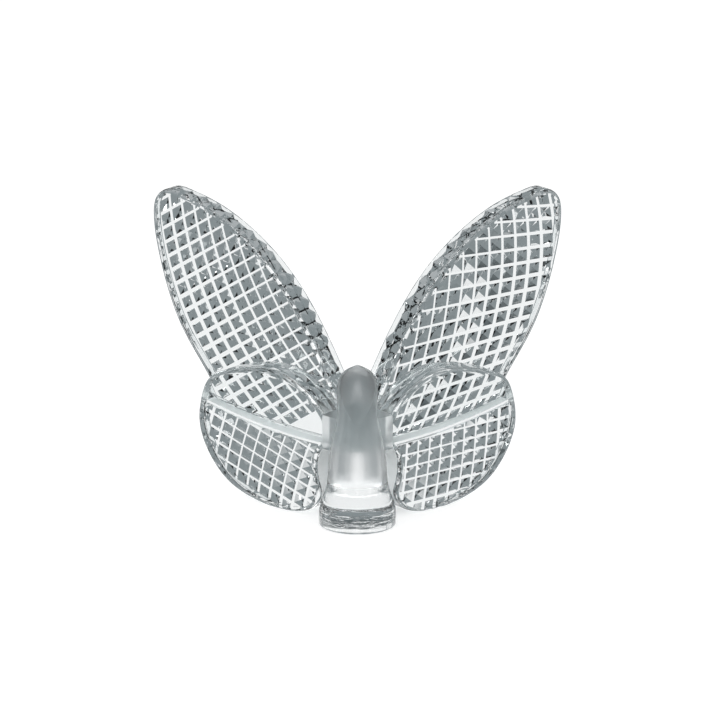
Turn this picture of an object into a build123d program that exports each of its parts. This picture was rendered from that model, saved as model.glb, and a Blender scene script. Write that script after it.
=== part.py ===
from build123d import *
import os
from math import cos, radians, sin, tan

# A small clear crystal butterfly that stands on the flared foot of its body and on the lower edges
# of its hindwings.  The wings lean back from the body, with smooth polished fronts and with backs
# covered in diamond points.  Lengths are in millimetres and angles in degrees, +Z is up, the
# butterfly faces -Y, and the origin is the middle of the flat foot.

# Body, a flared column turned about the Z axis, with a sloping brow cut across its front
body_height = 26.6
foot_radius = 6.2
foot_round = 0.3
foot_rim_height = 1.6
skirt_height = 5.6
skirt_radius = 5.15
waist_height = 11.0
waist_radius = 4.6
chest_height = 19.0
chest_radius = 3.2
shoulder_height = 25.0
shoulder_radius = 2.5
brow_height = 18.0
brow_setback = 0.3

# Wings, plates that lean back from the body by the sweep
wing_sweep = 40.0
wing_front_lead = 2.3
hindwing_thickness = 4.4
forewing_thickness = 4.4
forewing_tip_thickness = 2.8
forewing_length = 39.5
forewing_rise = 35.1
hindwing_length = 26.2
hindwing_height = 22.9
front_round = 0.9

# Root block of the body, as shares of the hindwing's height, with ends that slope into the column
# by a share of the largest circle inside the block
root_bottom_share = 0.524
root_height_share = 0.2445
root_end_share = 0.85
root_end_slope = 60.0

# The lower edge of each hindwing, drawn this far below the foot and ground flat level with it
ground_depth = 0.2

# Lap seat, ground into the front of the forewing for the pad on the back of the hindwing
seat_depth = 0.4
lap_clearance = 0.15

# Diamond points, cut into the wing backs as deep as they are high inside a thin plain rim, with flat
# lands between them that widen as the cuts get shallower
point_height = 1.0
point_sink = 0.08
root_margin = 0.4
widest_foot_share = 0.87
narrowest_foot_share = 0.66
least_point_share = 0.12
inner_edge_angle = 46.0
forewing_pitch_across = 2.7
forewing_pitch_along = 2.3
hindwing_pitch_across = 2.4
hindwing_pitch_along = 2.1
right_forewing_bow_radius = 36.0
left_forewing_bow_radius = 50.0
right_hindwing_bow_radius = 60.0
left_hindwing_bow_radius = 45.0

# Outlines, as shares of each wing's length from its root and of its height
forewing_edge_shares = [
    (0.073, 0.304),
    (0.187, 0.509),
    (0.333, 0.706),
    (0.557, 0.887),
    (0.723, 0.964),
    (0.848, 0.994),
    (0.930, 0.996),
    (0.985, 0.950),
    (1.000, 0.865),
    (0.977, 0.702),
    (0.912, 0.487),
    (0.835, 0.330),
    (0.727, 0.180),
    (0.660, 0.066),
]
forewing_hem_share = (0.346, 0.012)
hindwing_edge_shares = [
    (0.036, 0.490),
    (0.057, 0.376),
    (0.041, 0.271),
    (0.024, 0.195),
    (0.075, 0.088),
    (0.236, 0.009),
    (0.411, 0.000),
    (0.587, 0.030),
    (0.754, 0.100),
    (0.899, 0.245),
    (1.000, 0.502),
    (0.988, 0.660),
    (0.926, 0.826),
    (0.750, 0.932),
    (0.509, 1.000),
    (0.314, 0.995),
    (0.119, 0.900),
]

# The cut field, as a growth of each wing's outline about a middle, and of the lap that it leaves free,
# and the wider field that the points on its border are trimmed to, inside the rim
cut_field_share = 0.982
trim_field_share = 0.991
lap_cut_share = 1.022
lap_trim_share = 1.013
forewing_middle_share = (0.52, 0.50)
hindwing_middle_share = (0.50, 0.48)

# Where the first cut line of each wing starts, as shares of the wing
right_forewing_start_share = (0.905, 0.725)
left_forewing_start_share = (0.861, 0.943)
right_hindwing_start_share = (0.723, 0.610)
left_hindwing_start_share = (0.490, 0.873)

# Levels that follow from these sizes, measured back from the plane through the body's axis
lap_level = hindwing_thickness - wing_front_lead
forewing_back = lap_level + forewing_thickness
root_reach = forewing_back * tan(radians(wing_sweep))
root_bottom = root_bottom_share * hindwing_height
root_height = root_height_share * hindwing_height
root_top = root_bottom + root_height
field_front = lap_level - 2 * point_height
field_depth = forewing_thickness + 4 * point_height
forewing_taper = (forewing_thickness - forewing_tip_thickness) / forewing_length

# The right wing plane: x runs along the wing, y runs up and the normal points to the front
along_wing = Vector(cos(radians(wing_sweep)), sin(radians(wing_sweep)), 0)
to_front = Vector(sin(radians(wing_sweep)), -cos(radians(wing_sweep)), 0)
wing_plane = Plane(origin=(0, 0, 0), x_dir=along_wing, z_dir=to_front)

# The forewing's back, a plane that comes forward towards the tip
root_back = wing_plane.from_local_coords((root_reach, 0, -forewing_back))
taper_plane = Plane(origin=root_back, z_dir=to_front + along_wing * -forewing_taper)
forewing_floor = taper_plane.offset(point_height)


def wing_level(level):
    """The right wing plane, moved back by a level."""
    return wing_plane.offset(-level)


def forewing_floor_level(x):
    """How far back the floor of the forewing's cut field is."""
    return forewing_back - point_height - forewing_taper * (x - root_reach)


def hindwing_floor_level(x):
    """How far back the floor of the hindwing's cut field is."""
    return lap_level - point_height


def forewing_shallow_share(x, y):
    """How shallow the cuts are: none along the forewing's inner edge and full at its outer edge."""
    edge_angle = radians(inner_edge_angle)
    from_edge = (x - root_reach) * sin(edge_angle) - (y - root_top) * cos(edge_angle)
    return min(1, max(0, 2 * from_edge / forewing_length))


def hindwing_shallow_share(x, y):
    """How shallow the cuts are: none in the middle of the hindwing and full at its rim."""
    middle_x, middle_y = hindwing_point(hindwing_middle_share)
    from_middle_x = 2 * (x - middle_x) / hindwing_length
    from_middle_y = 2 * (y - middle_y) / hindwing_height
    return min(1, from_middle_x**4 + from_middle_y**4)


def forewing_point(share):
    return (root_reach + share[0] * forewing_length, root_bottom + share[1] * forewing_rise)


def hindwing_point(share):
    return (root_reach + share[0] * hindwing_length, share[1] * hindwing_height - ground_depth)


def grown(point, middle, growth):
    return (
        middle[0] + growth * (point[0] - middle[0]),
        middle[1] + growth * (point[1] - middle[1]),
    )


def forewing_outline(growth=1):
    """The forewing's lines, grown about its middle: root, one long curve over the tip, and hem."""
    middle = forewing_point(forewing_middle_share)
    lower_root = grown((root_reach, root_bottom), middle, growth)
    upper_root = grown((root_reach, root_top), middle, growth)
    hem = grown(forewing_point(forewing_hem_share), middle, growth)
    edge = [grown(forewing_point(share), middle, growth) for share in forewing_edge_shares]
    Line(lower_root, upper_root)
    Spline(upper_root, *edge)
    ThreePointArc(edge[-1], hem, lower_root)


def hindwing_outline(growth=1, drop=0):
    """The hindwing's lines, grown about its middle and lowered by a drop: root, and one long curve."""
    middle = hindwing_point(hindwing_middle_share)
    lower_root = grown((root_reach, root_bottom - drop), middle, growth)
    upper_root = grown((root_reach, root_top - drop), middle, growth)
    edge = [grown(hindwing_point(share), middle, growth) for share in hindwing_edge_shares]
    Line(upper_root, lower_root)
    Spline(lower_root, *[(x, y - drop) for x, y in edge], upper_root)


def cut_crossing(cut, across, along):
    """Where two cut lines cross: the long lines bow towards the root and the cross lines fan out."""
    bow_radius = cut["bow_radius"]
    start_lean = radians(cut["lean"])
    lean = start_lean + along / bow_radius
    cross_angle = radians(cut["cross_angle"] + cut["fan"] * along / bow_radius)
    x = cut["start"][0] - bow_radius * (cos(start_lean) - cos(lean)) + across * cos(cross_angle)
    y = cut["start"][1] - bow_radius * (sin(lean) - sin(start_lean)) + across * sin(cross_angle)
    return (x, y)


def diamond_point(cell, floor_level, shallow_share):
    """One point in its cell, sunk a little into the floor that carries it."""
    middle_x = sum(x for x, y in cell) / len(cell)
    middle_y = sum(y for x, y in cell) / len(cell)
    shallow = shallow_share(middle_x, middle_y)
    foot_share = widest_foot_share + shallow * (narrowest_foot_share - widest_foot_share)
    height = point_height * foot_share / widest_foot_share
    spread = foot_share * (1 + point_sink / height)
    tip = wing_plane.from_local_coords((middle_x, middle_y, -floor_level(middle_x) - height))
    foot = []
    for cell_x, cell_y in cell:
        x = middle_x + spread * (cell_x - middle_x)
        y = middle_y + spread * (cell_y - middle_y)
        foot.append(wing_plane.from_local_coords((x, y, point_sink - floor_level(x))))
    facets = [Face(Wire.make_polygon(foot))]
    for near, far in zip(foot, foot[1:] + foot[:1]):
        facets.append(Face(Wire.make_polygon([near, far, tip])))
    return Solid(Shell(facets))


def trimmed_point(point, trim_field):
    """What the trim field leaves of a point on its border: its larger pieces."""
    with BuildPart() as left:
        add(point)
        add(trim_field, mode=Mode.INTERSECT)
    return [piece for piece in left.solids() if piece.volume > least_point_share * point.volume]


def diamond_points(trim_field, cut, floor_level, shallow_share):
    """The points of one wing, those on the border of its field trimmed inside the rim."""
    points = []
    for row in cut["rows"]:
        low_along = row * cut["pitch_along"]
        high_along = low_along + cut["pitch_along"]
        for column in cut["columns"]:
            low_across = column * cut["pitch_across"]
            high_across = low_across + cut["pitch_across"]
            cell = [
                cut_crossing(cut, low_across, low_along),
                cut_crossing(cut, high_across, low_along),
                cut_crossing(cut, high_across, high_along),
                cut_crossing(cut, low_across, high_along),
            ]
            if min(x for x, y in cell) < root_reach + root_margin:
                continue
            point = diamond_point(cell, floor_level, shallow_share)
            inside = [trim_field.is_inside(corner.center()) for corner in point.vertices()]
            if all(inside):
                points.append(point)
            elif any(inside):
                points.extend(trimmed_point(point, trim_field))
    return points


def forewing_field(growth):
    """A block over the back of the forewing, inside its outline grown about its middle."""
    with BuildPart() as field:
        with BuildSketch(wing_level(field_front)):
            with BuildLine():
                forewing_outline(growth)
            make_face()
        extrude(amount=-field_depth)
    return field.solid()


def hindwing_field(growth, lap_growth):
    """A block over the back of the hindwing, inside its grown outline and below the grown forewing."""
    with BuildPart() as field:
        with BuildSketch(wing_level(field_front)):
            with BuildLine():
                hindwing_outline(growth)
            make_face()
            with BuildLine():
                forewing_outline(lap_growth)
            make_face(mode=Mode.SUBTRACT)
        extrude(amount=-field_depth)
    return field.solids().sort_by(SortBy.VOLUME)[-1]


def make_forewing(name, cut, mirrored):
    points = diamond_points(
        forewing_field(trim_field_share), cut, forewing_floor_level, forewing_shallow_share
    )
    with BuildPart() as recess:
        add(forewing_field(cut_field_share))
        split(bisect_by=forewing_floor, keep=Keep.BOTTOM)
    with BuildPart() as wing:
        with BuildSketch(wing_level(forewing_back)):
            with BuildLine():
                forewing_outline()
            make_face()
        extrude(amount=forewing_thickness)
        front = wing.faces().sort_by(Axis((0, 0, 0), to_front))[-1]
        fillet(front.edges().sort_by(SortBy.LENGTH)[-1], radius=front_round)
        split(bisect_by=taper_plane, keep=Keep.TOP)
        with BuildSketch(wing_level(lap_level)):
            with BuildLine():
                hindwing_outline()
            make_face()
        extrude(amount=-seat_depth, mode=Mode.SUBTRACT)
        add(recess.part, mode=Mode.SUBTRACT)
        add(points)
        if mirrored:
            mirror(about=Plane.YZ, mode=Mode.REPLACE)
    wing.part.label = name
    export_step(wing.part, f"parts/{name}.step")
    print(name, len(points), "points", round(wing.part.volume), "cubic mm")


def make_hindwing(name, cut, mirrored):
    points = diamond_points(
        hindwing_field(trim_field_share, lap_trim_share), cut, hindwing_floor_level, hindwing_shallow_share
    )
    with BuildPart() as recess:
        add(hindwing_field(cut_field_share, lap_cut_share))
        split(bisect_by=wing_level(lap_level - point_height), keep=Keep.BOTTOM)
    with BuildPart() as wing:
        with BuildSketch(wing_level(lap_level)):
            with BuildLine():
                hindwing_outline()
            make_face()
        extrude(amount=hindwing_thickness)
        front = wing.faces().sort_by(Axis((0, 0, 0), to_front))[-1]
        fillet(front.edges().sort_by(SortBy.LENGTH)[-1], radius=front_round)
        with BuildSketch(wing_level(lap_level)):
            with BuildLine():
                hindwing_outline(drop=lap_clearance)
            make_face()
            with BuildLine():
                forewing_outline()
            make_face(mode=Mode.INTERSECT)
        extrude(amount=-seat_depth)
        add(recess.part, mode=Mode.SUBTRACT)
        add(points)
        split(bisect_by=Plane.XY, keep=Keep.TOP)
        if mirrored:
            mirror(about=Plane.YZ, mode=Mode.REPLACE)
    wing.part.label = name
    export_step(wing.part, f"parts/{name}.step")
    print(name, len(points), "points", round(wing.part.volume), "cubic mm")


os.makedirs("parts", exist_ok=True)

# Body: the turned column with its brow, and the root block that carries the four wings
seat_front = wing_plane.from_local_coords((root_reach, 0, wing_front_lead))
seat_back = wing_plane.from_local_coords((root_reach, 0, -forewing_back))
block_front = Vector(0, -wing_front_lead / cos(radians(wing_sweep)), 0)
block_half_girth = (seat_front - block_front).length + (seat_back - seat_front).length
block_inner_radius = seat_front.X * (seat_back.Y - block_front.Y) / block_half_girth
root_end = root_end_share * block_inner_radius / tan(radians(root_end_slope))
brow_foot = Vector(0, -chest_radius, brow_height)
brow_top = Vector(0, -brow_setback, body_height)
brow_back = Vector(1, 0, 0).cross(brow_top - brow_foot) * -1
with BuildSketch() as root_section:
    Polygon(
        (block_front.X, block_front.Y),
        (seat_front.X, seat_front.Y),
        (seat_back.X, seat_back.Y),
        (-seat_front.X, seat_front.Y),
        align=None,
    )
with BuildPart() as root_block:
    with BuildSketch(Plane.XY.offset(root_bottom)) as lower_section:
        add(root_section.sketch)
    extrude(amount=root_height)
    extrude(lower_section.sketch, amount=-root_end, taper=root_end_slope)
    with BuildSketch(Plane.XY.offset(root_top)):
        add(root_section.sketch)
    extrude(amount=root_end, taper=root_end_slope)
with BuildPart() as body:
    with BuildSketch(Plane.XZ):
        with BuildLine():
            Line((0, 0), (foot_radius - foot_round, 0))
            RadiusArc((foot_radius - foot_round, 0), (foot_radius, foot_round), -foot_round)
            Line((foot_radius, foot_round), (foot_radius, foot_rim_height))
            Spline(
                (foot_radius, foot_rim_height),
                (skirt_radius, skirt_height),
                (waist_radius, waist_height),
                (chest_radius, chest_height),
                (shoulder_radius, shoulder_height),
                (0, body_height),
                tangents=((0, 1), (-2, 1)),
            )
            Line((0, body_height), (0, 0))
        make_face()
    revolve(axis=Axis.Z)
    split(bisect_by=Plane(origin=brow_foot, x_dir=(1, 0, 0), z_dir=brow_back), keep=Keep.TOP)
    add(root_block.part)
body.part.label = "body"
export_step(body.part, "parts/body.step")
print("body", round(body.part.volume), "cubic mm")

# Forewings and hindwings, whose cut lines run at their own angles on each side
make_forewing(
    "right_forewing",
    {
        "start": forewing_point(right_forewing_start_share),
        "lean": 0.0,
        "bow_radius": right_forewing_bow_radius,
        "cross_angle": -5.0,
        "fan": 18.0,
        "pitch_across": forewing_pitch_across,
        "pitch_along": forewing_pitch_along,
        "rows": range(-5, 14),
        "columns": range(-13, 3),
    },
    mirrored=False,
)
make_forewing(
    "left_forewing",
    {
        "start": forewing_point(left_forewing_start_share),
        "lean": 9.0,
        "bow_radius": left_forewing_bow_radius,
        "cross_angle": -33.0,
        "fan": 0.0,
        "pitch_across": forewing_pitch_across,
        "pitch_along": forewing_pitch_along,
        "rows": range(-2, 18),
        "columns": range(-12, 4),
    },
    mirrored=True,
)
make_hindwing(
    "right_hindwing",
    {
        "start": hindwing_point(right_hindwing_start_share),
        "lean": 0.0,
        "bow_radius": right_hindwing_bow_radius,
        "cross_angle": 0.0,
        "fan": 0.0,
        "pitch_across": hindwing_pitch_across,
        "pitch_along": hindwing_pitch_along,
        "rows": range(-1, 8),
        "columns": range(-8, 4),
    },
    mirrored=False,
)
make_hindwing(
    "left_hindwing",
    {
        "start": hindwing_point(left_hindwing_start_share),
        "lean": -33.0,
        "bow_radius": left_hindwing_bow_radius,
        "cross_angle": 17.0,
        "fan": 0.0,
        "pitch_across": hindwing_pitch_across,
        "pitch_along": hindwing_pitch_along,
        "rows": range(1, 13),
        "columns": range(-10, 7),
    },
    mirrored=True,
)
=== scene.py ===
from math import cos, radians, sin

import bpy
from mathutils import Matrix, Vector


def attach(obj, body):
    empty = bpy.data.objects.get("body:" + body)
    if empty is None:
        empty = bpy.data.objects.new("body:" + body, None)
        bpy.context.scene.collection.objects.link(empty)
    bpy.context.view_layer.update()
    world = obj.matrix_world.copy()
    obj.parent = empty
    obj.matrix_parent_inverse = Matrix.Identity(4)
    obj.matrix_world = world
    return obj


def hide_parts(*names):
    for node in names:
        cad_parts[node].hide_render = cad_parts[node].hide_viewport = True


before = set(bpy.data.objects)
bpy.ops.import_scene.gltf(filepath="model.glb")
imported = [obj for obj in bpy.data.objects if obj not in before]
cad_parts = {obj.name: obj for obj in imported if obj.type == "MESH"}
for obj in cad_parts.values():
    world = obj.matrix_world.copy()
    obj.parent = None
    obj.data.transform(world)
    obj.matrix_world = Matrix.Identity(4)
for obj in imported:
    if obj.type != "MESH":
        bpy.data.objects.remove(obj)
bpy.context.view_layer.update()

# Body: a flared column of clear crystal, pressed in a mould and turned smooth, with a polished foot.
# Its upper part is satin under a clear polish, with painted shade that greys it towards the head.
# The root block behind the chest has four ground seats, and the wings are bonded to them with clear
# glue.
body_polish_width = 0.00012
polish_steps = 2
sharp_angle = radians(25.0)
flat_angle = radians(0.1)
merge_reach = 0.000001
crystal_refraction = 1.545
crystal_tint = (0.955, 0.975, 0.978, 1.0)
lamp_light_through = (0.93, 0.95, 0.95, 1.0)
ripple_scale = 90.0
ripple_detail = 1.0
ripple_strength = 0.04
ripple_depth = 0.001
satin_back_heights = (0.003, 0.011)
satin_back_depths = (-0.001, 0.001)
satin_back_roughness = 0.38
satin_front_heights = (0.0035, 0.009)
satin_front_roughness = 0.36
# Painted shade: the crystal's colour greys towards the head between these heights.
head_shade_heights = (0.012, 0.026)
painted_shade_tint = (0.50, 0.53, 0.54, 1.0)
streak_scale = (260.0, 260.0, 1900.0)
streak_detail = 2.0
streak_depth = 0.0002
streak_foot_heights = (0.0009, 0.0012)
streak_top_heights = (0.0028, 0.0034)
seat_colour = (0.68, 0.72, 0.73, 1.0)
seat_roughness = 0.8
wet_edge = (0.0033, 0.0036)
glue_tint = (0.985, 0.99, 0.99, 1.0)
# The seams are found by their place.  Along the swept line of the wings the root seats lie at
# seat_reach from the body's axis, and the lap seats lie at lap_seat_level behind that line.
wing_sweep = radians(40.0)
seat_reach = 0.0054542
lap_seat_level = 0.0025
seam_reach = 0.00003


def new_finish(name):
    """A new material with its own shader tree."""
    material = bpy.data.materials.new(name)
    material.use_nodes = True
    return material


def feed(tree, socket, value):
    """Links a socket to another one, or sets it to a plain value."""
    if isinstance(value, bpy.types.NodeSocket):
        tree.links.new(value, socket)
    else:
        socket.default_value = value


def add_sum(tree, operation, first, second=0.0):
    """The result of one sum on two values, each a socket or a plain number."""
    node = tree.nodes.new("ShaderNodeMath")
    node.operation = operation
    feed(tree, node.inputs[0], first)
    feed(tree, node.inputs[1], second)
    return node.outputs["Value"]


def add_step(tree, value, limits, ends=(0.0, 1.0), soft=False):
    """A step from the first end below the lower limit to the second end above the upper one."""
    node = tree.nodes.new("ShaderNodeMapRange")
    if soft:
        node.interpolation_type = "SMOOTHSTEP"
    node.inputs["From Min"].default_value = limits[0]
    node.inputs["From Max"].default_value = limits[1]
    node.inputs["To Min"].default_value = ends[0]
    node.inputs["To Max"].default_value = ends[1]
    tree.links.new(value, node.inputs["Value"])
    return node.outputs["Result"]


def add_place(tree):
    """The place on the piece, as one socket each for X, Y and Z."""
    place = tree.nodes.new("ShaderNodeTexCoord")
    parts = tree.nodes.new("ShaderNodeSeparateXYZ")
    tree.links.new(place.outputs["Object"], parts.inputs["Vector"])
    return parts.outputs


def mix_colours(tree, share, first, second):
    """A mix of two colours, each a socket or a plain colour, by the share of the second."""
    node = tree.nodes.new("ShaderNodeMix")
    node.data_type = "RGBA"
    tree.links.new(share, node.inputs["Factor"])
    feed(tree, node.inputs["A"], first)
    feed(tree, node.inputs["B"], second)
    return node.outputs["Result"]


def mix_shaders(tree, share, first, second):
    """A mix of two shaders by the share of the second."""
    node = tree.nodes.new("ShaderNodeMixShader")
    tree.links.new(share, node.inputs["Fac"])
    tree.links.new(first, node.inputs[1])
    tree.links.new(second, node.inputs[2])
    return node.outputs["Shader"]


def make_ripple_group():
    """Slow waves that polishing leaves on crystal, as a height for a bump."""
    group = bpy.data.node_groups.new("polishing_ripple", "ShaderNodeTree")
    group.interface.new_socket("Scale", in_out="INPUT", socket_type="NodeSocketFloat")
    group.interface.new_socket("Height", in_out="OUTPUT", socket_type="NodeSocketFloat")
    start = group.nodes.new("NodeGroupInput")
    place = group.nodes.new("ShaderNodeTexCoord")
    waves = group.nodes.new("ShaderNodeTexNoise")
    waves.inputs["Detail"].default_value = ripple_detail
    end = group.nodes.new("NodeGroupOutput")
    group.links.new(place.outputs["Object"], waves.inputs["Vector"])
    group.links.new(start.outputs["Scale"], waves.inputs["Scale"])
    group.links.new(waves.outputs["Fac"], end.inputs["Height"])
    return group


def make_crystal(name):
    """Clear and faintly cool crystal, which lets lamps through to the floor."""
    material = new_finish(name)
    tree = material.node_tree
    glass = tree.nodes["Principled BSDF"]
    glass.inputs["Base Color"].default_value = crystal_tint
    glass.inputs["Roughness"].default_value = 0.0
    glass.inputs["IOR"].default_value = crystal_refraction
    glass.inputs["Transmission Weight"].default_value = 1.0
    ripple = tree.nodes.new("ShaderNodeGroup")
    ripple.node_tree = ripple_group
    ripple.inputs["Scale"].default_value = ripple_scale
    bump = tree.nodes.new("ShaderNodeBump")
    bump.inputs["Strength"].default_value = ripple_strength
    bump.inputs["Distance"].default_value = ripple_depth
    tree.links.new(ripple.outputs["Height"], bump.inputs["Height"])
    tree.links.new(bump.outputs["Normal"], glass.inputs["Normal"])
    lamp_pass = tree.nodes.new("ShaderNodeBsdfTransparent")
    lamp_pass.inputs["Color"].default_value = lamp_light_through
    lamp_ray = tree.nodes.new("ShaderNodeLightPath").outputs["Is Shadow Ray"]
    shown = mix_shaders(tree, lamp_ray, glass.outputs["BSDF"], lamp_pass.outputs["BSDF"])
    tree.links.new(shown, tree.nodes["Material Output"].inputs["Surface"])
    return material


def satin_upper_body(material):
    """Leaves the upper body satin all round, a little more so at the back, under a clear polish."""
    tree = material.node_tree
    place = add_place(tree)
    upper = add_step(tree, place["Z"], satin_back_heights, (0.0, satin_back_roughness), soft=True)
    behind = add_step(tree, place["Y"], satin_back_depths)
    back = add_sum(tree, "MULTIPLY", upper, behind)
    front = add_step(tree, place["Z"], satin_front_heights, (0.0, satin_front_roughness), soft=True)
    glass = tree.nodes["Principled BSDF"]
    tree.links.new(add_sum(tree, "MAXIMUM", back, front), glass.inputs["Roughness"])
    glass.inputs["Coat Weight"].default_value = 1.0


def paint_head_shade(material):
    """Paints shade into the crystal's colour, from clear at the waist to grey at the head."""
    tree = material.node_tree
    upper = add_step(tree, add_place(tree)["Z"], head_shade_heights, soft=True)
    shade = mix_colours(tree, upper, crystal_tint, painted_shade_tint)
    tree.links.new(shade, tree.nodes["Principled BSDF"].inputs["Base Color"])


def streak_foot(material):
    """Adds the level streaks that the mould leaves across the front of the foot, above its rim."""
    tree = material.node_tree
    ripple = tree.nodes["Bump"]
    whole_place = tree.nodes.new("ShaderNodeTexCoord").outputs["Object"]
    stretch = tree.nodes.new("ShaderNodeMapping")
    stretch.inputs["Scale"].default_value = streak_scale
    tree.links.new(whole_place, stretch.inputs["Vector"])
    streaks = tree.nodes.new("ShaderNodeTexNoise")
    streaks.inputs["Scale"].default_value = 1.0
    streaks.inputs["Detail"].default_value = streak_detail
    tree.links.new(stretch.outputs["Vector"], streaks.inputs["Vector"])
    place = add_place(tree)
    above_rim = add_step(tree, place["Z"], streak_foot_heights)
    below_skirt = add_step(tree, place["Z"], streak_top_heights, (1.0, 0.0))
    band = add_sum(tree, "MULTIPLY", above_rim, below_skirt)
    in_front = add_sum(tree, "LESS_THAN", place["Y"], 0.0)
    front_band = add_sum(tree, "MULTIPLY", band, in_front)
    bump = tree.nodes.new("ShaderNodeBump")
    bump.inputs["Distance"].default_value = streak_depth
    tree.links.new(front_band, bump.inputs["Strength"])
    tree.links.new(streaks.outputs["Fac"], bump.inputs["Height"])
    tree.links.new(ripple.outputs["Normal"], bump.inputs["Normal"])
    tree.links.new(bump.outputs["Normal"], tree.nodes["Principled BSDF"].inputs["Normal"])


def make_ground_seat():
    """A seat that is left as ground: it scatters light, except where clear glue wets its outer edge."""
    material = new_finish("ground_seat")
    tree = material.node_tree
    ground = tree.nodes["Principled BSDF"]
    ground.inputs["Base Color"].default_value = seat_colour
    ground.inputs["Roughness"].default_value = seat_roughness
    wet = tree.nodes.new("ShaderNodeBsdfTransparent")
    from_middle = add_sum(tree, "ABSOLUTE", add_place(tree)["X"])
    outer = add_step(tree, from_middle, wet_edge)
    shown = mix_shaders(tree, outer, ground.outputs["BSDF"], wet.outputs["BSDF"])
    tree.links.new(shown, tree.nodes["Material Output"].inputs["Surface"])
    return material


def make_glue():
    """Clear glue in the seams, which has the crystal's own refraction and so bends nothing."""
    material = new_finish("clear_glue")
    tree = material.node_tree
    tree.nodes.remove(tree.nodes["Principled BSDF"])
    clear = tree.nodes.new("ShaderNodeBsdfTransparent")
    clear.inputs["Color"].default_value = glue_tint
    tree.links.new(clear.outputs["BSDF"], tree.nodes["Material Output"].inputs["Surface"])
    return material


def polished_copy(node_name, polish_width, finish):
    """A merged copy of one solid in its finish, its sharp edges softened as polishing leaves them."""
    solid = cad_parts[node_name]
    piece = bpy.data.objects.new(node_name + "_crystal", solid.data.copy())
    bpy.context.scene.collection.objects.link(piece)
    bpy.ops.object.select_all(action="DESELECT")
    piece.select_set(True)
    bpy.context.view_layer.objects.active = piece
    bpy.ops.mesh.customdata_custom_splitnormals_clear()
    bpy.ops.object.mode_set(mode="EDIT")
    bpy.ops.mesh.select_all(action="SELECT")
    bpy.ops.mesh.remove_doubles(threshold=merge_reach)
    bpy.ops.mesh.dissolve_limited(angle_limit=flat_angle)
    bpy.ops.object.mode_set(mode="OBJECT")
    edges = piece.modifiers.new("polished edges", "BEVEL")
    edges.width = polish_width
    edges.segments = polish_steps
    edges.limit_method = "ANGLE"
    edges.angle_limit = sharp_angle
    edges.use_clamp_overlap = True
    bpy.ops.object.modifier_apply(modifier=edges.name)
    bpy.ops.object.shade_smooth_by_angle(angle=sharp_angle)
    even = piece.modifiers.new("even normals", "WEIGHTED_NORMAL")
    even.keep_sharp = True
    bpy.ops.object.modifier_apply(modifier=even.name)
    piece.data.materials.clear()
    piece.data.materials.append(finish)
    return piece


def finish_seams(piece, finish):
    """Gives the faces in the seams of one piece their own finish."""
    finish_index = len(piece.data.materials)
    piece.data.materials.append(finish)
    for face in piece.data.polygons:
        middle = face.center
        along = abs(middle.x) * cos(wing_sweep) + middle.y * sin(wing_sweep)
        back = middle.y * cos(wing_sweep) - abs(middle.x) * sin(wing_sweep)
        at_seat = abs(along - seat_reach) < seam_reach
        at_lap = abs(back - lap_seat_level) < seam_reach
        if at_seat or at_lap:
            face.material_index = finish_index


ripple_group = make_ripple_group()
body_crystal = make_crystal("body_crystal")
satin_upper_body(body_crystal)
# Painted shade: greys the crystal's colour towards the head.
paint_head_shade(body_crystal)
streak_foot(body_crystal)
body = polished_copy("body", body_polish_width, body_crystal)
finish_seams(body, make_ground_seat())
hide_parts("body")
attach(body, "root")

# Wings: four flat blanks of the same crystal, polished in front and cut with diamond points behind.
# Each is ground to its seat and glued to the root block, the hindwing also to the forewing's lap.
# The hindwings' edges beside the body stay as ground, and the forewings' hems behind them are satin.
wing_polish_width = 0.00006
edge_colour = (0.96, 0.98, 0.98, 1.0)
edge_roughness = 0.9
hem_colour = (0.94, 0.96, 0.96, 1.0)
hem_sheen = (0.40, 0.65)
hem_foot = 0.0118
hem_top = 0.0150
inner_edge_reach = 0.0035
steep_share = 0.7
flat_share = 0.2


def make_ground_edge():
    """The matt finish of an edge that is left as it comes from the grinding wheel."""
    material = new_finish("ground_edge")
    ground = material.node_tree.nodes["Principled BSDF"]
    ground.inputs["Base Color"].default_value = edge_colour
    ground.inputs["Roughness"].default_value = edge_roughness
    return material


def make_satin_hem():
    """A lightly ground hem: clear when looked through steeply, and a white sheen along it."""
    material = make_crystal("satin_hem")
    tree = material.node_tree
    clear = tree.nodes["Mix Shader"]
    ground = tree.nodes.new("ShaderNodeBsdfDiffuse")
    ground.inputs["Color"].default_value = hem_colour
    slant = tree.nodes.new("ShaderNodeLayerWeight")
    sheen = add_step(tree, slant.outputs["Facing"], hem_sheen)
    shown = mix_shaders(tree, sheen, clear.outputs["Shader"], ground.outputs["BSDF"])
    tree.links.new(shown, tree.nodes["Material Output"].inputs["Surface"])
    return material


def finish_edges(wing, finish):
    """Gives a wing's edge beside the body, and its hem at the lap, their own finish."""
    finish_index = len(wing.data.materials)
    wing.data.materials.append(finish)
    for face in wing.data.polygons:
        middle = face.center
        normal = face.normal
        side = 1 if middle.x > 0 else -1
        along = side * middle.x * cos(wing_sweep) + middle.y * sin(wing_sweep)
        to_tip = side * normal.x * cos(wing_sweep) + normal.y * sin(wing_sweep)
        to_back = normal.y * cos(wing_sweep) - side * normal.x * sin(wing_sweep)
        near_body = seam_reach < along - seat_reach < inner_edge_reach and middle.z < hem_foot
        beside_body = near_body and to_tip < -steep_share
        at_hem = hem_foot < middle.z < hem_top and normal.z < -steep_share
        if abs(to_back) < flat_share and (beside_body or at_hem):
            face.material_index = finish_index


glue = make_glue()
wing_crystal = make_crystal("wing_crystal")
ground_edge = make_ground_edge()
satin_hem = make_satin_hem()
edge_finishes = {
    "right_forewing": satin_hem,
    "left_forewing": satin_hem,
    "right_hindwing": ground_edge,
    "left_hindwing": ground_edge,
}
for wing_name, edge_finish in edge_finishes.items():
    wing = polished_copy(wing_name, wing_polish_width, wing_crystal)
    finish_seams(wing, glue)
    finish_edges(wing, edge_finish)
    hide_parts(wing_name)
    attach(wing, "root")
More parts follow.
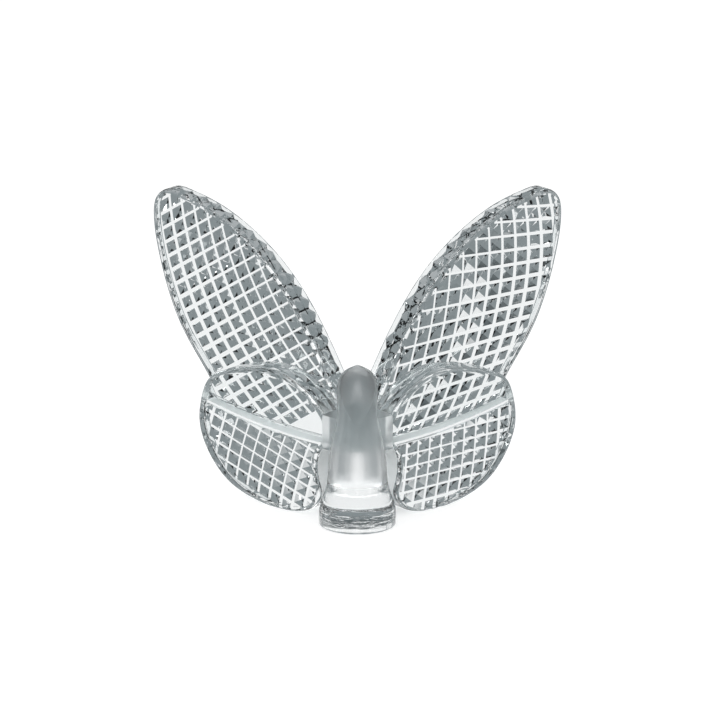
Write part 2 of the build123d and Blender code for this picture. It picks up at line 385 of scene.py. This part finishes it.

# Floor: a plain sheet of white card under the ornament, wide enough to have no edge in the picture.
# It shows white to the camera with the ornament's faint shadow.  The crystal sees it as a painted pool
# of light, a white glow close by, and looks past the rest to the studio.
floor_half_width = 3.0
floor_drop = 0.00002
card_colour = (0.80, 0.80, 0.80, 1.0)
card_roughness = 0.9
card_lift = 0.35
# Painted pool of light: in the crystal the card glows white within this reach of the ornament.
painted_pool_edge = (0.008, 0.034)
painted_pool_narrowing = 2.6
bpy.ops.object.select_all(action="DESELECT")
bpy.ops.mesh.primitive_plane_add(size=2 * floor_half_width, location=(0, 0, -floor_drop))
floor = bpy.context.object
floor.name = "floor"
bpy.ops.object.transform_apply(location=True, rotation=True, scale=True)
card = new_finish("white_card")
card_tree = card.node_tree
card_face = card_tree.nodes["Principled BSDF"]
card_face.inputs["Base Color"].default_value = card_colour
card_face.inputs["Roughness"].default_value = card_roughness
card_face.inputs["Specular IOR Level"].default_value = 0.0
card_glow = card_tree.nodes.new("ShaderNodeEmission")
card_glow.inputs["Strength"].default_value = card_lift
card_lifted = card_tree.nodes.new("ShaderNodeAddShader")
card_tree.links.new(card_face.outputs["BSDF"], card_lifted.inputs[0])
card_tree.links.new(card_glow.outputs["Emission"], card_lifted.inputs[1])
card_ray = card_tree.nodes.new("ShaderNodeLightPath").outputs
card_outside = mix_shaders(
    card_tree, card_ray["Is Camera Ray"], card_face.outputs["BSDF"], card_lifted.outputs["Shader"]
)
card_place = card_tree.nodes.new("ShaderNodeTexCoord").outputs["Object"]
card_narrowed = card_tree.nodes.new("ShaderNodeMapping")
card_narrowed.inputs["Scale"].default_value = (painted_pool_narrowing, 1.0, 1.0)
card_tree.links.new(card_place, card_narrowed.inputs["Vector"])
card_reach = card_tree.nodes.new("ShaderNodeVectorMath")
card_reach.operation = "LENGTH"
card_tree.links.new(card_narrowed.outputs["Vector"], card_reach.inputs[0])
# Painted pool of light: a white glow close to the ornament, clear beyond it.
past_painted_pool = add_step(card_tree, card_reach.outputs["Value"], painted_pool_edge, soft=True)
card_painted_glow = card_tree.nodes.new("ShaderNodeEmission")
card_clear = card_tree.nodes.new("ShaderNodeBsdfTransparent")
card_inside = mix_shaders(
    card_tree, past_painted_pool, card_painted_glow.outputs["Emission"], card_clear.outputs["BSDF"]
)
card_in_crystal = add_sum(
    card_tree, "MAXIMUM", card_ray["Is Glossy Ray"], card_ray["Is Transmission Ray"]
)
card_shown = mix_shaders(card_tree, card_in_crystal, card_outside, card_inside)
card_tree.links.new(card_shown, card_tree.nodes["Material Output"].inputs["Surface"])
floor.data.materials.append(card)

# Studio: white all round for the camera.  The crystal sees a round white screen behind it with a
# bright strip and a dark shade above, a ring of eight narrow white panels, grey walls and a soft light
# overhead.  Heights are sines of an elevation, and the other edges are cosines of an angle.
room_level = 0.75
screen_line = (0.0, 0.954, -0.300)
screen_edge = (0.975, 0.990)
strip_edge = (0.50, 0.60)
strip_foot = (0.259, 0.264)
strip_top = (0.296, 0.303)
shade_top = (0.38, 0.46)
shade_colour = (0.09, 0.105, 0.11, 1.0)
panel_count = 8.0
panel_edge = (0.77, 0.91)
panel_foot = (-0.55, -0.45)
panel_top = (0.10, 0.16)
soft_light_rim = (0.86, 0.92)
pale_wall_top = (-0.90, -0.45)
pale_wall_colour = (0.45, 0.47, 0.48, 1.0)
wall_colour = (0.25, 0.28, 0.29, 1.0)
screen_colour = (1.0, 1.0, 1.0, 1.0)
world = bpy.data.worlds.new("studio")
world.use_nodes = True
bpy.context.scene.world = world
room = world.node_tree


def room_step(value, limits):
    """A soft step from none below the lower limit to full above the upper one."""
    return add_step(room, value, limits, soft=True)


def room_band(value, foot, top):
    """A soft band between a foot and a top."""
    return add_sum(room, "SUBTRACT", room_step(value, foot), room_step(value, top))


room_way = room.nodes.new("ShaderNodeTexCoord").outputs["Generated"]
room_parts = room.nodes.new("ShaderNodeSeparateXYZ")
room.links.new(room_way, room_parts.inputs["Vector"])
height = room_parts.outputs["Z"]
facing = room.nodes.new("ShaderNodeVectorMath")
facing.operation = "DOT_PRODUCT"
facing.inputs[1].default_value = screen_line
room.links.new(room_way, facing.inputs[0])
screen = room_step(facing.outputs["Value"], screen_edge)
turn = add_sum(room, "ARCTAN2", room_parts.outputs["X"], room_parts.outputs["Y"])
behind = room_step(add_sum(room, "COSINE", turn), strip_edge)
strip = add_sum(room, "MULTIPLY", behind, room_band(height, strip_foot, strip_top))
shade = add_sum(room, "MULTIPLY", behind, room_band(height, strip_top, shade_top))
around = add_sum(room, "COSINE", add_sum(room, "MULTIPLY", turn, panel_count))
panel_width = room_step(around, panel_edge)
panel = add_sum(room, "MULTIPLY", panel_width, room_band(height, panel_foot, panel_top))
overhead = room_step(height, soft_light_rim)
bright_low = add_sum(room, "MAXIMUM", panel, screen)
bright_high = add_sum(room, "MAXIMUM", strip, overhead)
bright = add_sum(room, "MAXIMUM", bright_low, bright_high)
walls = mix_colours(room, room_step(height, pale_wall_top), pale_wall_colour, wall_colour)
shaded_walls = mix_colours(room, shade, walls, shade_colour)
room_colour = mix_colours(room, bright, shaded_walls, screen_colour)
room_inside = room.nodes.new("ShaderNodeBackground")
room.links.new(room_colour, room_inside.inputs["Color"])
room_light = room.nodes["Background"]
room_light.inputs["Color"].default_value = screen_colour
room_light.inputs["Strength"].default_value = room_level
room_backdrop = room.nodes.new("ShaderNodeBackground")
room_backdrop.inputs["Color"].default_value = screen_colour
room_ray = room.nodes.new("ShaderNodeLightPath").outputs
room_outside = mix_shaders(
    room,
    room_ray["Is Camera Ray"],
    room_light.outputs["Background"],
    room_backdrop.outputs["Background"],
)
room_in_crystal = add_sum(room, "MAXIMUM", room_ray["Is Glossy Ray"], room_ray["Is Transmission Ray"])
room_shown = mix_shaders(room, room_in_crystal, room_outside, room_inside.outputs["Background"])
room.links.new(room_shown, room.nodes["World Output"].inputs["Surface"])

# Lamp: one large soft box above the ornament and in front of it, a little to the left.
# It gives the faint shadow on the card, and the gloss on the polished fronts.
lamp_width = 0.5
lamp_depth = 0.35
lamp_power = 2.4
lamp_place = Vector((-0.12, -0.45, 0.75))
lamp_aim = Vector((0, 0, 0.02))
lamp_data = bpy.data.lights.new("soft_box", "AREA")
lamp_data.shape = "RECTANGLE"
lamp_data.size = lamp_width
lamp_data.size_y = lamp_depth
lamp_data.energy = lamp_power
lamp = bpy.data.objects.new("soft_box", lamp_data)
lamp.location = lamp_place
lamp.rotation_euler = (lamp_aim - lamp_place).to_track_quat("-Z", "Y").to_euler()
bpy.context.scene.collection.objects.link(lamp)

# Camera: a long lens a little above the ornament, square to its front.
# It stands far off, so that the wings keep their sizes from front to back.
picture_width = 0.1152
lens_distance = 4.0
lens_elevation = radians(17.5)
lens_sight = 20.0
sensor_width = 36.0
camera_aim = Vector((0.0004, 0.010, 0.0242))
camera_data = bpy.data.cameras.new("camera")
camera_data.sensor_width = sensor_width
camera_data.lens = sensor_width * lens_distance / picture_width
camera_data.clip_end = lens_sight
camera = bpy.data.objects.new("camera", camera_data)
camera.location = camera_aim + lens_distance * Vector((0, -cos(lens_elevation), sin(lens_elevation)))
camera.rotation_euler = (radians(90.0) - lens_elevation, 0, 0)
bpy.context.scene.collection.objects.link(camera)
bpy.context.scene.camera = camera
bpy.context.scene.view_settings.view_transform = "Standard"
